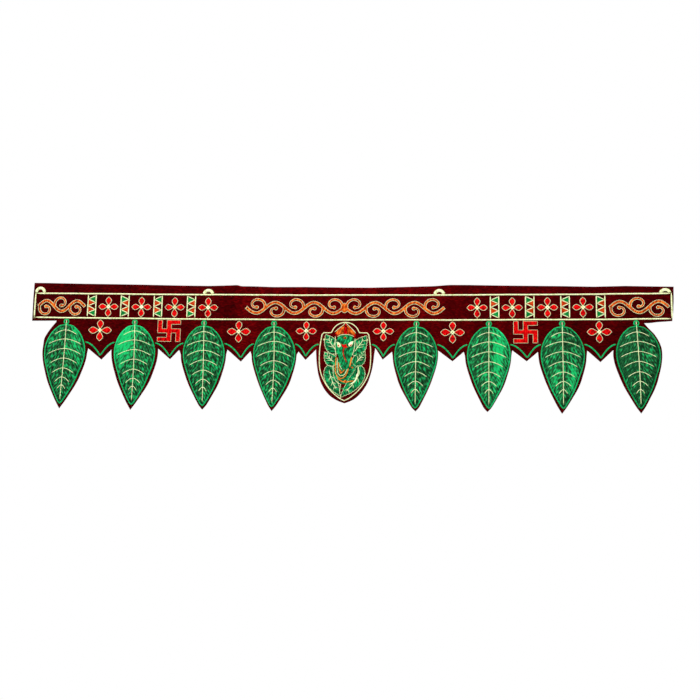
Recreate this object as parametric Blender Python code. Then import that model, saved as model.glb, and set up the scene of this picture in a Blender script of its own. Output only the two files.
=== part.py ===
"""A toran door hanging of embroidered velvet, hung along its top edge.

Every shape is drawn flat, in millimetres, on the cloth as it lay before it was hung: x runs across
from the shield's middle and z runs up from the middle of the border. It is then sagged, rippled and
given its thickness. The objects are in metres, with +X to the right, +Z up and the front facing -Y.
"""

import math

import bpy
import numpy as np
from mathutils import Vector
from mathutils.geometry import delaunay_2d_cdt

MM = 0.001

# The hung cloth: 37 inches long, held straight at its heading and freer towards its tips
HALF_LENGTH = 469.9
TOP_MIDDLE = 30.0
SAG = 2.85
CLOTH = 1.8
FLAT_ABOVE = 14.0
LOWEST = -155.0
CLOTH_STEP = 13.0

# The grid of points inside a shape: its rows' spacing and its distance from an edge, by its step
ROW_SPACING = 0.87
EDGE_SPACING = 0.55

# The embroidery stands on the cloth, a hair in front of it
GAP = 0.42
PAD = 1.1
LINE = 0.8
BORDER_LINE = 0.9
PAD_STEP = 12.0
MERGE = 0.01

# Border of the band, a couched cord
BORDER_HALF_LENGTH = 466.3
BORDER_HALF_HEIGHT = 18.4
BORDER_WIDTH = 2.7
BORDER_STEP = 26.0
BORDER_LEFT_DROP = 0.7
SEAM = 0.3

# Leaves hang at even steps on both sides of the shield
LEAF_PITCH = 104.0
LEAF_TOP = -26.0
LEAF_TIP = -147.4
RING_UP = -24.7
RING_RADIUS = 4.4
RING_CORNERS = 14

SCALLOP_WIDTH = 1.8
SCALLOP_BULGE = 4.2
SCALLOP_FROM = -54.6
SCALLOP_LEAF = 30.3
SCALLOP_SHIELD = 38.4
SCALLOP_PARTS = 8
SHARPEST_MITRE = 0.5
SHIELD_WIDTH = 1.7
SHIELD_MIDDLE = 1.0

# Dividers stand in two groups of four
DIVIDER_FIRSTS = (-379.0, 216.3)
DIVIDERS_IN_GROUP = 4
DIVIDER_STEP = 50.2
DIVIDER_HALF = 5.9
UPRIGHT_WIDTH = 1.7
ZIGZAG_WIDTH = 1.4
ZIGZAG_TOP = 15.6
ZIGZAG_POINTS = 7

# How far the cloth swings forward of the wall at its lowest, fold by fold
FOLDS = (  # x, forward
    (-470, 2.2), (-416, 4.6), (-364, 1.6), (-312, 3.9), (-260, 1.2), (-208, 3.2), (-156, 0.9),
    (-104, 2.8), (-52, 0.8), (0, 2.4), (52, 1.0), (104, 3.3), (156, 0.7), (208, 2.7),
    (260, 1.3), (312, 4.1), (364, 1.5), (416, 4.8), (470, 2.5),
)

# The uneven top edge and the two ends
TOP_EDGE = (  # x, z
    (469.9, 28.4), (448, 28.9), (403, 30.2), (358, 29.6), (312, 30.8), (267, 31.6), (221, 32.4),
    (175, 33.4), (152, 33.5), (128, 31.8), (82, 30.7), (35, 29.8), (0, 30.0), (-59, 30.8),
    (-107, 30.6), (-131, 31.4), (-155, 31.9), (-160, 33.2), (-203, 31.9), (-251, 32.3),
    (-300, 33.1), (-348, 33.5), (-398, 33.8), (-447, 34.3), (-469.5, 34.3),
)
LEFT_END = ((-469.9, 10.0), (-469.6, -8.0))
LOWER_LEFT = ((-469.4, -23.6), (-450.0, -23.3), (-431.7, -22.9))
LOWER_RIGHT = ((427.0, -24.3), (436.0, -24.0), (446.0, -22.8), (456.0, -22.2), (466.4, -21.5))
RIGHT_END = ((468.2, -8.0), (469.3, 8.0))

# Half the cloth's width round a leaf, by height, and on the two free outer sides
CLOTH_LEAF = (  # z, half width
    (-70, 34.0), (-80, 32.9), (-90, 30.6), (-100, 27.5), (-110, 24.1), (-120, 19.7),
    (-130, 14.4), (-140, 8.9), (-146, 5.3),
)
FREE_LEFT = (  # z, half width
    (-25, 16.2), (-30, 20.2), (-35, 24.0), (-40, 27.2), (-50, 32.4), (-60, 33.5),
)
FREE_RIGHT = (  # z, half width
    (-25, 11.6), (-30, 15.5), (-35, 20.0), (-40, 24.5), (-50, 30.5), (-60, 34.0),
)

# Half the embroidered leaf's width, by height
LEAF = (  # z, half width
    (-26, 5.2), (-30, 9.7), (-35, 16.2), (-40, 21.0), (-50, 26.7), (-60, 30.0), (-70, 31.0),
    (-80, 30.0), (-90, 27.5), (-100, 24.0), (-110, 20.5), (-120, 16.5), (-130, 11.5),
    (-140, 6.0), (-145, 2.9),
)

# Each embroidered leaf leans a little sideways, by its mid height and by its tip
LEAVES = (  # place, mid shift, tip shift
    (-4, 0.0, -1.7), (-3, 2.0, 1.5), (-2, 1.7, 2.5), (-1, 1.7, 0.0),
    (1, -0.8, -1.2), (2, -0.5, -0.7), (3, 0.0, -0.5), (4, 2.0, 2.5),
)

# The cloth was cut round each leaf by hand: sideways shifts at its widest, low down and at its tip
CUTS = (  # shift at the widest, low shift, tip shift, tip z, share of the usual width
    (0.0, -0.6, -2.1, -154.2, 1.0),
    (1.6, 2.0, 0.2, -154.3, 1.03),
    (0.5, 2.3, 2.5, -152.2, 1.0),
    (1.0, 2.2, 0.2, -152.8, 0.98),
    (-1.4, -2.0, -0.6, -151.3, 0.965),
    (-1.3, -1.1, -2.7, -151.6, 0.975),
    (-0.2, 0.3, -2.4, -153.9, 1.0),
    (0.8, 2.4, 2.8, -153.3, 1.0),
)
WIDEST = -75.0
LOW = -115.0

# The cut points between the pendants, with the tip of the green line inside each
POINTS = (  # left notch x, z, tip x, z, right notch x, z, line tip x, z
    (-381.0, -64.0, -360.0, -80.5, -345.5, -65.0, -361.8, -75.0),
    (-275.5, -63.0, -257.0, -78.5, -244.0, -64.5, -257.5, -74.6),
    (-172.0, -63.4, -151.6, -80.9, -137.9, -65.4, -151.5, -75.9),
    (-67.1, -65.4, -56.6, -77.6, -41.6, -62.1, -56.3, -72.6),
    (44.7, -59.6, 55.6, -76.5, 69.0, -64.9, 56.5, -72.0),
    (135.3, -62.9, 156.0, -78.6, 172.0, -64.9, 156.6, -74.5),
    (241.0, -62.6, 261.4, -78.6, 277.4, -65.0, 262.2, -74.3),
    (346.7, -63.3, 364.9, -80.0, 383.2, -62.6, 365.6, -74.8),
)

# The shield's cut edge and the cream line inside it
SHIELD_CLOTH = (  # z, left, right
    (-70, -41.1, 43.2), (-80, -40.4, 42.2), (-90, -39.0, 40.6), (-100, -37.0, 38.0),
    (-110, -33.6, 34.6), (-115, -31.2, 31.9), (-120, -28.2, 28.8), (-125, -24.4, 25.0),
    (-130, -19.6, 20.4), (-134, -13.8, 15.6), (-137.5, -7.0, 9.4),
)
SHIELD_TIP = (1.4, -140.4)
SHIELD_LINE = (  # z, half width
    (-40, 34.0), (-50, 35.6), (-60, 36.9), (-70, 37.3), (-80, 37.2), (-90, 36.3), (-100, 33.6),
    (-108, 29.9), (-115, 25.6), (-121, 20.9), (-126, 16.0), (-130.5, 10.6), (-134, 5.6),
)
SHIELD_SHOULDER = ((31.6, -37.6), (20.8, -37.6))
DOME_RADIUS = 20.9
DOME_UP = -43.1
DOME_SPREAD = 70
SHIELD_LINE_TIP = -136.6
SHOULDER_MITRE = 0.4
TIP_MITRE = 1.3

# Embroidered parts of the shield's elephant-headed figure, each a leaf from base to tip
FIGURE_LEAVES = (  # base x, z, tip x, z, width
    (-9, -64, -27.5, -42.5, 19),
    (11, -65, 30.5, -42.5, 20),
    (-9, -84, -29.0, -68.0, 17),
    (11, -85, 29.0, -68.0, 18),
    (-24, -84, -6.0, -128.5, 22.5),
    (26, -84, -2.5, -130.5, 23),
)
FIGURE_LEAF_PARTS = 7
BELLY_PLACE = 0.85
BELLY_FULLNESS = 0.8
FIGURE_BODY = (  # z, left, right
    (-24.0, -0.4, 2.0), (-30, -4.6, 5.6), (-36, -10.8, 12.4), (-40, -13.4, 15.0),
    (-48, -12.4, 14.0), (-60, -13.2, 14.2), (-70, -12.6, 13.4), (-80, -12.2, 12.0),
    (-92, -13.0, 14.6), (-104, -12.0, 18.0), (-112, -8.0, 16.0), (-118, -4.0, 8.0),
)

# Four-petalled flowers
FLOWERS = (  # x, z, half width, half height
    (-353.6, -1.0, 15.3, 15.3), (-303.4, -1.0, 15.3, 15.3), (-253.2, -1.0, 15.3, 15.3),
    (-203.0, -1.0, 15.3, 15.3), (191.3, -0.5, 15.3, 15.3), (241.4, -0.5, 15.3, 15.3),
    (291.6, -0.5, 15.3, 15.3), (341.8, -0.5, 15.3, 15.3),
    (-364.3, -36.7, 17.9, 16.4), (-156.0, -36.7, 17.7, 16.4), (-56.3, -35.2, 15.6, 14.7),
    (56.3, -35.2, 15.6, 14.7), (156.0, -36.7, 17.7, 16.4), (364.1, -36.7, 17.9, 16.4),
)
PETAL = (  # share of the flower's half width, half width
    (0.21, 2.5), (0.34, 2.9), (0.47, 4.6), (0.62, 5.3), (0.80, 3.9), (0.93, 1.6),
)

SIGNS = (("left", -260.1), ("right", 260.1))
SIGN_UP = -36.4
SIGN_HALF_WIDTH = 17.4
SIGN_HALF_HEIGHT = 16.2
SIGN_ARM = 0.21

# Cream half rings on the heading, standing on the border
HALF_RINGS = ((-459.1, 28.4), (-203.3, 27.2), (136.8, 27.4), (457.7, 26.4))  # x, top
HALF_RING_WIDTH = 8.4
HALF_RING_HOLE = 4.8
HALF_RING_HOLE_UP = 0.42
HALF_RING_PARTS = 14

# Running scrolls: where each starts and ends, and its number of waves
SCROLLS = (  # name, from x, to x, waves
    ("left", -460.0, -390.0, 3), ("right", 380.0, 461.6, 3),
)
SCROLL_CENTRE = (-1.0, 144.5, 5)  # middle x, half length, waves on each side
SCROLL_MIDDLE = -0.8
HEART = (5.4, 7.5)  # half width, half height
HEART_CORNERS = 12
HEART_TO_WAVE = 2.0

# One wave of a scroll, drawn 24 mm wide about its crest and then stretched to its place
WAVE = 24.0
STEM_RISE = 8.0
STEM_WIDTH = 4.6
STEM_OVERLAP = 0.6
STEM_POINTS = 8
TENDRIL_MIDDLE = (-0.5, -4.4)
TENDRIL_TURN = (160, 455)  # degrees, start and end
TENDRIL_REACH = (11.2, 3.6)  # start and end
TENDRIL_TIGHTENING = 0.85
TENDRIL_WIDTH = 3.9
TENDRIL_THINNING = 1.0
TENDRIL_POINTS = 11
BUD_RADIUS = 2.7
BUD_CORNERS = 8

LOOKS = {  # colour, roughness
    "velvet": ((0.085, 0.002, 0.004), 0.95),
    "green_thread": ((0.006, 0.19, 0.055), 0.42),
    "cream_thread": ((0.78, 0.80, 0.50), 0.55),
    "red_thread": ((0.62, 0.004, 0.006), 0.45),
    "orange_thread": ((0.68, 0.13, 0.02), 0.45),
}


def look(name, kind):
    """A material of its own for one piece."""
    colour, roughness = LOOKS[kind]
    material = bpy.data.materials.new(name + "_" + kind)
    material.use_nodes = True
    shader = material.node_tree.nodes["Principled BSDF"]
    shader.inputs["Base Color"].default_value = (*colour, 1.0)
    shader.inputs["Roughness"].default_value = roughness
    shader.inputs["Metallic"].default_value = 0.0
    return material


def forward(x, z):
    """How far the cloth's back lies in front of the wall: nothing at the heading, most at the tips."""
    folds = np.array(FOLDS, float)
    place = np.clip(np.searchsorted(folds[:, 0], x) - 1, 0, len(folds) - 2)
    start, end = folds[place], folds[place + 1]
    share = (x - start[:, 0]) / (end[:, 0] - start[:, 0])
    ease = 0.5 - 0.5 * np.cos(math.pi * np.clip(share, 0, 1))
    down = np.clip((FLAT_ABOVE - z) / (FLAT_ABOVE - LOWEST), 0, 1)
    return (start[:, 1] + (end[:, 1] - start[:, 1]) * ease) * down * down * (3 - 2 * down)


def hung(flat, front):
    """Points of the flat drawing as they hang, in metres, `front` millimetres before the cloth's back."""
    x, z = flat[:, 0], flat[:, 1]
    y = -(forward(x, z) + front)
    up = z - TOP_MIDDLE + SAG * (x / HALF_LENGTH) ** 2
    return np.stack([x, y, up], axis=1) * MM


def area(loop):
    x, z = np.array(loop, float).T
    return 0.5 * float(np.sum(x * np.roll(z, -1) - np.roll(x, -1) * z))


def turned(loop):
    """The loop anticlockwise."""
    return list(loop) if area(loop) > 0 else list(loop)[::-1]


def finer(loop, step):
    """The loop with more points on its long sides."""
    result = []
    for a, b in zip(loop, list(loop[1:]) + [loop[0]]):
        parts = max(1, math.ceil(math.dist(a, b) / step))
        for i in range(parts):
            share = i / parts
            result.append((a[0] + (b[0] - a[0]) * share, a[1] + (b[1] - a[1]) * share))
    return result


def within(points, loop):
    """Which points lie inside the loop."""
    x, z = points[:, 0:1], points[:, 1:2]
    corners = np.array(loop, float)
    after = np.roll(corners, -1, axis=0)
    rises = (corners[:, 1] > z) != (after[:, 1] > z)
    climb = np.where(after[:, 1] == corners[:, 1], 1.0, after[:, 1] - corners[:, 1])
    cross = corners[:, 0] + (z - corners[:, 1]) * (after[:, 0] - corners[:, 0]) / climb
    return (rises & (x < cross)).sum(axis=1) % 2 == 1


def clearance(points, loop):
    """The distance of each point from the loop's nearest side."""
    corners = np.array(loop, float)
    side = np.roll(corners, -1, axis=0) - corners
    reach = points[:, None, :] - corners[None, :, :]
    share = (reach * side).sum(-1) / np.maximum((side * side).sum(-1), 1e-9)
    nearest = corners + np.clip(share, 0, 1)[..., None] * side
    return np.sqrt(((points[:, None, :] - nearest) ** 2).sum(-1)).min(axis=1)


def inner_points(loops, holes, step):
    """A staggered grid of points inside the loops, clear of every edge."""
    corners = np.array([corner for loop in loops for corner in loop], float)
    low, high = corners.min(axis=0), corners.max(axis=0)
    rows = np.arange(low[1] + step / 2, high[1], step * ROW_SPACING)
    columns = np.arange(low[0] + step / 2, high[0], step)
    x, z = np.meshgrid(columns, rows)
    x = x + (np.arange(len(rows)) % 2)[:, None] * step / 2
    points = np.stack([x.ravel(), z.ravel()], axis=1)
    if len(points) == 0:
        return []
    inside = np.any([within(points, loop) for loop in loops], axis=0)
    points = points[inside]
    for loop in list(loops) + list(holes):
        if len(points):
            points = points[clearance(points, loop) > EDGE_SPACING * step]
    return [tuple(point) for point in points]


def fill(loops, holes, step):
    """Triangles over all that the loops cover, less the holes."""
    corners, faces, edges = [], [], []
    for loop in loops:
        faces.append(list(range(len(corners), len(corners) + len(loop))))
        corners += turned(loop)
    for hole in holes:
        first, count = len(corners), len(hole)
        edges += [(first + i, first + (i + 1) % count) for i in range(count)]
        corners += list(hole)
    corners += inner_points(loops, holes, step)
    made = delaunay_2d_cdt([Vector(corner) for corner in corners], edges, faces, 1, MERGE)
    points = np.array([tuple(point) for point in made[0]], float)
    triangles = np.array(made[2], int)
    middle = points[triangles].mean(axis=1)
    keep = np.any([within(middle, loop) for loop in loops], axis=0)
    for hole in holes:
        keep &= ~within(middle, hole)
    triangles = triangles[keep]
    used, index = np.unique(triangles, return_inverse=True)
    points, triangles = points[used], index.reshape(-1, 3)
    a, b, c = (points[triangles[:, i]] for i in range(3))
    left = (b - a)[:, 0] * (c - a)[:, 1] - (b - a)[:, 1] * (c - a)[:, 0]
    triangles[left < 0] = triangles[left < 0][:, ::-1]
    return points, triangles


def rim(triangles):
    """The directed sides that only one triangle has."""
    sides = np.concatenate([triangles[:, [0, 1]], triangles[:, [1, 2]], triangles[:, [2, 0]]])
    both = {(a, b) for a, b in sides.tolist()}
    return [(a, b) for a, b in sides.tolist() if (b, a) not in both]


def slab(name, kind, loops, stand, thick, step, holes=()):
    """One closed solid over the loops, its back `stand` in front of the cloth's back."""
    flat, triangles = fill(loops, holes, step)
    count = len(flat)
    points = np.concatenate([hung(flat, stand + thick), hung(flat, stand)])
    middle = (points.min(axis=0) + points.max(axis=0)) / 2
    faces = triangles.tolist() + (triangles[:, ::-1] + count).tolist()
    faces += [(b, a, a + count, b + count) for a, b in rim(triangles)]
    mesh = bpy.data.meshes.new(name)
    mesh.from_pydata((points - middle).tolist(), [], faces)
    mesh.validate()
    mesh.materials.append(look(name, kind))
    piece = bpy.data.objects.new(name, mesh)
    piece.location = middle
    piece.parent = hanging
    bpy.context.scene.collection.objects.link(piece)


def raised(name, kind, loops, thick=PAD, holes=()):
    """A piece of embroidery on the cloth's front."""
    slab(name, kind, loops, CLOTH + GAP, thick, PAD_STEP, holes)


def stroke(path, width):
    """The outline of a line of the given width, or of a width for each point."""
    points = np.array(path, float)
    along = np.gradient(points, axis=0)
    along /= np.linalg.norm(along, axis=1, keepdims=True)
    aside = np.stack([-along[:, 1], along[:, 0]], axis=1) * (np.asarray(width, float) / 2).reshape(-1, 1)
    return [tuple(point) for point in np.concatenate([points - aside, (points + aside)[::-1]])]


def disc(x, z, across, up, corners):
    angles = [2 * math.pi * i / corners for i in range(corners)]
    return [(x + across * math.cos(a), z + up * math.sin(a)) for a in angles]


def lean(leaf, z):
    """A leaf's middle at height z: a bow through its mid and tip shifts."""
    place, mid, tip = leaf
    share = (z - LEAF_TOP) / (LEAF_TIP - LEAF_TOP)
    return place * LEAF_PITCH + tip * share + (mid - tip / 2) * 4 * share * (1 - share)


def sides(rows, middle, share=1.0):
    """The left side downwards and the right side upwards, about a middle that depends on z."""
    left = [(middle(z) - half * share, z) for z, half in rows]
    right = [(middle(z) + half * share, z) for z, half in rows]
    return left, right[::-1]


def cloth_outline():
    """The cut edge, anticlockwise from the lower left corner."""
    outline = list(LOWER_LEFT)
    outline += sides(FREE_LEFT, lambda z: LEAVES[0][0] * LEAF_PITCH)[0]
    points = iter(POINTS)
    for (place, *_), cut in zip(LEAVES, CUTS):
        if place == 1:
            outline += [(left, z) for z, left, right in SHIELD_CLOTH]
            outline.append(SHIELD_TIP)
            outline += [(right, z) for z, left, right in reversed(SHIELD_CLOTH)]
            outline += point_corners(next(points))
        widest, low, tip, tip_z, share = cut
        heights, shifts = (tip_z, LOW, WIDEST), (tip, low, widest)
        left, right = sides(CLOTH_LEAF, lambda z: place * LEAF_PITCH + np.interp(z, heights, shifts), share)
        outline += left + [(place * LEAF_PITCH + tip, tip_z)] + right
        if place != LEAVES[-1][0]:
            outline += point_corners(next(points))
    outline += sides(FREE_RIGHT, lambda z: LEAVES[-1][0] * LEAF_PITCH)[1]
    return outline + list(LOWER_RIGHT) + list(RIGHT_END) + list(TOP_EDGE) + list(LEFT_END)


def point_corners(row):
    return [(row[0], row[1]), (row[2], row[3]), (row[4], row[5])]


def bowed(start, end, bulge, parts):
    """Points from start to end on a line that bows upwards by `bulge`."""
    result = []
    for i in range(parts + 1):
        share = i / parts
        bow = 4 * bulge * share * (1 - share)
        x = start[0] + (end[0] - start[0]) * share
        result.append((x, start[1] + (end[1] - start[1]) * share + bow))
    return result


def scallop(number, row):
    """The green line along one point, from pendant to pendant."""
    pendants = [(lean(leaf, SCALLOP_FROM), SCALLOP_LEAF) for leaf in LEAVES]
    pendants.insert(len(LEAVES) // 2, (SHIELD_MIDDLE, SCALLOP_SHIELD))
    (left, left_half), (right, right_half) = pendants[number - 1:number + 1]
    start = (left + left_half, SCALLOP_FROM)
    end = (right - right_half, SCALLOP_FROM)
    tip = (row[6], row[7])
    path = bowed(start, tip, SCALLOP_BULGE, SCALLOP_PARTS)
    back = bowed(tip, end, SCALLOP_BULGE, SCALLOP_PARTS)
    raised(f"scallop_{number}", "green_thread", [mitred(path + back[1:], SCALLOP_WIDTH)], LINE)


def mitred(path, width):
    """The outline of a line with one sharp corner, its two sides meeting in points."""
    points = np.array(path, float)
    runs = np.diff(points, axis=0)
    runs /= np.linalg.norm(runs, axis=1, keepdims=True)
    before = np.concatenate([runs[:1], runs])
    after = np.concatenate([runs, runs[-1:]])
    aside = np.stack([-(before + after)[:, 1], (before + after)[:, 0]], axis=1)
    aside /= np.linalg.norm(aside, axis=1, keepdims=True)
    half_turn = np.clip((aside * np.stack([-after[:, 1], after[:, 0]], axis=1)).sum(1), SHARPEST_MITRE, 1)
    aside *= (width / 2 / half_turn)[:, None]
    return [tuple(point) for point in np.concatenate([points - aside, (points + aside)[::-1]])]


def shield_loop(inset):
    """The cream line's edge, `inset` inside its middle."""
    half = []
    for degrees in range(0, DOME_SPREAD + 1, 10):
        angle = math.radians(degrees)
        radius = DOME_RADIUS - inset
        half.append((radius * math.sin(angle), DOME_UP + radius * math.cos(angle)))
    half += [(x - inset * SHOULDER_MITRE, z - inset) for x, z in SHIELD_SHOULDER[::-1]]
    rows = [(width, z) for z, width in SHIELD_LINE]
    slopes = np.gradient(np.array(rows, float), axis=0)
    slopes /= np.linalg.norm(slopes, axis=1, keepdims=True)
    half += [(x + slope[1] * inset, z - slope[0] * inset) for (x, z), slope in zip(rows, slopes)]
    right = [(SHIELD_MIDDLE + x, z) for x, z in half]
    left = [(SHIELD_MIDDLE - x, z) for x, z in half[1:]]
    tip = (SHIELD_MIDDLE, SHIELD_LINE_TIP + inset * TIP_MITRE)
    return turned(right + [tip] + left[::-1])


def leaf_shape(row):
    """A pointed leaf from its base to its tip."""
    base, tip, width = np.array(row[:2], float), np.array(row[2:4], float), row[4]
    along = tip - base
    aside = np.array([-along[1], along[0]]) / np.linalg.norm(along)
    shares = [i / FIGURE_LEAF_PARTS for i in range(1, FIGURE_LEAF_PARTS)]
    belly = [math.sin(math.pi * share ** BELLY_PLACE) ** BELLY_FULLNESS * width / 2 for share in shares]
    one = [base + along * share + aside * half for share, half in zip(shares, belly)]
    other = [base + along * share - aside * half for share, half in zip(shares, belly)]
    return turned([tuple(point) for point in [base] + one + [tip] + other[::-1]])


def flower(number, row):
    """Four pointed petals round a square heart, as one outline."""
    x, z, half_width, half_height = row
    outline = []
    for quarter in range(4):
        reach = half_width if quarter % 2 == 0 else half_height
        turn = math.pi / 2 * quarter
        side = [(share * reach, -half) for share, half in PETAL]
        petal = side + [(reach, 0.0)] + [(along, -half) for along, half in reversed(side)]
        for along, half in petal:
            outline.append((x + along * math.cos(turn) - half * math.sin(turn),
                            z + along * math.sin(turn) + half * math.cos(turn)))
    raised(f"flower_{number:02d}", "red_thread", [outline])


def sign(name, x):
    """The auspicious cross with its arms bent clockwise, as one outline."""
    arm = SIGN_ARM
    corner = [(arm, arm), (arm, 1 - 2 * arm), (1, 1 - 2 * arm), (1, 1), (-arm, 1)]
    outline = []
    for _ in range(4):
        outline += [(x + a * SIGN_HALF_WIDTH, SIGN_UP + b * SIGN_HALF_HEIGHT) for a, b in corner]
        corner = [(-b, a) for a, b in corner]
    raised("sign_" + name, "red_thread", [outline])


def divider(number, x, side):
    """Two uprights with a zigzag of three triangles standing on the side named."""
    top = BORDER_HALF_HEIGHT - BORDER_WIDTH / 2 - SEAM
    loops = [stroke([(x + way * DIVIDER_HALF, -top), (x + way * DIVIDER_HALF, top)], UPRIGHT_WIDTH)
             for way in (-1, 1)]
    inner = DIVIDER_HALF - UPRIGHT_WIDTH / 4
    heights = np.linspace(-ZIGZAG_TOP, ZIGZAG_TOP, ZIGZAG_POINTS)
    ways = [side if i % 2 == 0 else -side for i in range(len(heights))]
    path = [(x + way * inner, z) for way, z in zip(ways, heights)]
    loops.append(mitred(path, ZIGZAG_WIDTH))
    raised(f"divider_{number}", "cream_thread", loops, LINE)


def half_ring(number, x, top):
    """A flat half ring, open below, standing on the border."""
    foot = BORDER_HALF_HEIGHT + BORDER_WIDTH / 2 + SEAM
    angles = [math.pi * i / HALF_RING_PARTS for i in range(HALF_RING_PARTS + 1)]
    height = top - foot
    outer = [(x + HALF_RING_WIDTH * math.cos(a), foot + height * math.sin(a)) for a in angles]
    hole = height * HALF_RING_HOLE_UP
    inner = [(x + HALF_RING_HOLE * math.cos(a), foot + hole * math.sin(a)) for a in angles]
    raised(f"half_ring_{number}", "cream_thread", [outer + inner[::-1]])


def wave(start, width, side, mirror):
    """One wave of a running scroll: a piece of stem, and a tendril curling into its hollow."""
    middle = start + width / 2

    def placed(path):
        return [(mirror * (middle + u * width / WAVE), SCROLL_MIDDLE + side * v) for u, v in path]

    end = WAVE / 2 + STEM_OVERLAP
    stem = [(u, STEM_RISE * math.cos(math.pi * u / WAVE)) for u in np.linspace(-end, end, STEM_POINTS)]
    steps = np.linspace(0, 1, TENDRIL_POINTS)
    angles = np.radians(np.linspace(*TENDRIL_TURN, TENDRIL_POINTS))
    first, last = TENDRIL_REACH
    reach = first + (last - first) * steps ** TENDRIL_TIGHTENING
    across, up = TENDRIL_MIDDLE
    tendril = [(across + r * math.cos(a), up + r * math.sin(a)) for r, a in zip(reach, angles)]
    x, z = placed(tendril[-1:])[0]
    return [
        stroke(placed(stem), STEM_WIDTH),
        stroke(placed(tendril), TENDRIL_WIDTH - TENDRIL_THINNING * steps),
        disc(x, z, BUD_RADIUS, BUD_RADIUS, BUD_CORNERS),
    ]


def scrolls():
    """Running scrolls at both ends of the band, and a mirrored pair in the middle."""
    for name, start, end, waves in SCROLLS:
        width = (end - start) / waves
        loops = []
        for i in range(waves):
            loops += wave(start + i * width, width, 1 if i % 2 == 0 else -1, 1)
        raised("scroll_" + name, "orange_thread", loops)
    middle, length, waves = SCROLL_CENTRE
    loops = [disc(middle, SCROLL_MIDDLE, *HEART, HEART_CORNERS)]
    width = (length - HEART_TO_WAVE) / waves
    for mirror in (-1, 1):
        for i in range(waves):
            found = wave(HEART_TO_WAVE + i * width, width, -1 if i % 2 == 0 else 1, mirror)
            loops += [[(middle + x, z) for x, z in loop] for loop in found]
    raised("scroll_centre", "orange_thread", loops)


def border():
    """Two long bars between two short ones at the band's ends."""
    half = BORDER_WIDTH / 2
    across, up = BORDER_HALF_LENGTH, BORDER_HALF_HEIGHT
    inside = across - half - SEAM
    bars = (
        ("top", -inside, inside, up - half, up + half),
        ("bottom", -inside, inside, -up - half, -up + half),
        ("left", -across - half, -across + half, -up - half - BORDER_LEFT_DROP, up + half),
        ("right", across - half, across + half, -up - half, up + half),
    )
    for name, left, right, low, high in bars:
        outline = finer([(left, low), (right, low), (right, high), (left, high)], BORDER_STEP)
        raised("border_" + name, "cream_thread", [outline], BORDER_LINE)


for old in list(bpy.data.objects):
    bpy.data.objects.remove(old)

hanging = bpy.data.objects.new("toran", None)
bpy.context.scene.collection.objects.link(hanging)

slab("ground_cloth", "velvet", [finer(cloth_outline(), CLOTH_STEP)], 0.0, CLOTH, CLOTH_STEP)

for number, leaf in enumerate(LEAVES, 1):
    left, right = sides(LEAF, lambda z: lean(leaf, z))
    outline = left + [(lean(leaf, LEAF_TIP), LEAF_TIP)] + right
    ring = disc(lean(leaf, RING_UP), RING_UP, RING_RADIUS, RING_RADIUS, RING_CORNERS)
    raised(f"leaf_{number}", "green_thread", [outline, ring])

raised("shield_line", "cream_thread", [shield_loop(-SHIELD_WIDTH / 2)], LINE,
       holes=[shield_loop(SHIELD_WIDTH / 2)])
body = [(left, z) for z, left, right in FIGURE_BODY]
body += [(right, z) for z, left, right in reversed(FIGURE_BODY)]
raised("figure_pad", "green_thread", [leaf_shape(row) for row in FIGURE_LEAVES] + [body])

for number, row in enumerate(FLOWERS, 1):
    flower(number, row)
for name, x in SIGNS:
    sign(name, x)
for number, row in enumerate(POINTS, 1):
    scallop(number, row)
for number, (x, top) in enumerate(HALF_RINGS, 1):
    half_ring(number, x, top)

for number in range(DIVIDERS_IN_GROUP * len(DIVIDER_FIRSTS)):
    group, place = divmod(number, DIVIDERS_IN_GROUP)
    x = DIVIDER_FIRSTS[group] + place * DIVIDER_STEP
    divider(number + 1, x, 1 if place % 2 == 0 else -1)

scrolls()
border()
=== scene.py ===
# %% [markdown]
# # A toran: an embroidered velvet hanging for the top of a door
#
# The real thing is one strip of maroon velvet on a stiff backing, cut along its lower edge into
# leaves and points, and covered with machine embroidery in shiny rayon thread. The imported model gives
# the exact outlines. This lesson dresses them: velvet with a pile, raised satin stitch, couched cords.

import math

import bpy
import numpy as np
from mathutils import Matrix, Vector
from mathutils.geometry import delaunay_2d_cdt


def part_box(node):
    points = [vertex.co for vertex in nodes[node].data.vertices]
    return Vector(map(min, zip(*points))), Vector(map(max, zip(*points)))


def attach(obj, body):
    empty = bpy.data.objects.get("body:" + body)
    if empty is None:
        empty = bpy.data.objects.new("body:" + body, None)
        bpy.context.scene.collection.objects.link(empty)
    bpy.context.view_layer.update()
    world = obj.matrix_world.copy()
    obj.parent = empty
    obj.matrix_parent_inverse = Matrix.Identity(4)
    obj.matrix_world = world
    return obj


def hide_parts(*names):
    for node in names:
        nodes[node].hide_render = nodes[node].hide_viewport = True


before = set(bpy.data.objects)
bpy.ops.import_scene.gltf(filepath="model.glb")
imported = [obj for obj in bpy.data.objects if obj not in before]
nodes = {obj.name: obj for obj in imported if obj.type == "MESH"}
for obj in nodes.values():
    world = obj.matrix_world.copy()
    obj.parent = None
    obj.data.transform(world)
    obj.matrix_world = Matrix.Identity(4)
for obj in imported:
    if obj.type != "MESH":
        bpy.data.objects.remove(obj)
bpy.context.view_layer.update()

# %% [markdown]
# ## How the cloth hangs
#
# A hanging like this is drawn and stitched flat, then nailed up by its heading. So every pattern here
# is drawn on the flat cloth in millimetres, x across from the shield and z up from the band's middle,
# and one function hangs it: the middle sags, and each leaf swings forward by its own few millimetres.

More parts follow.
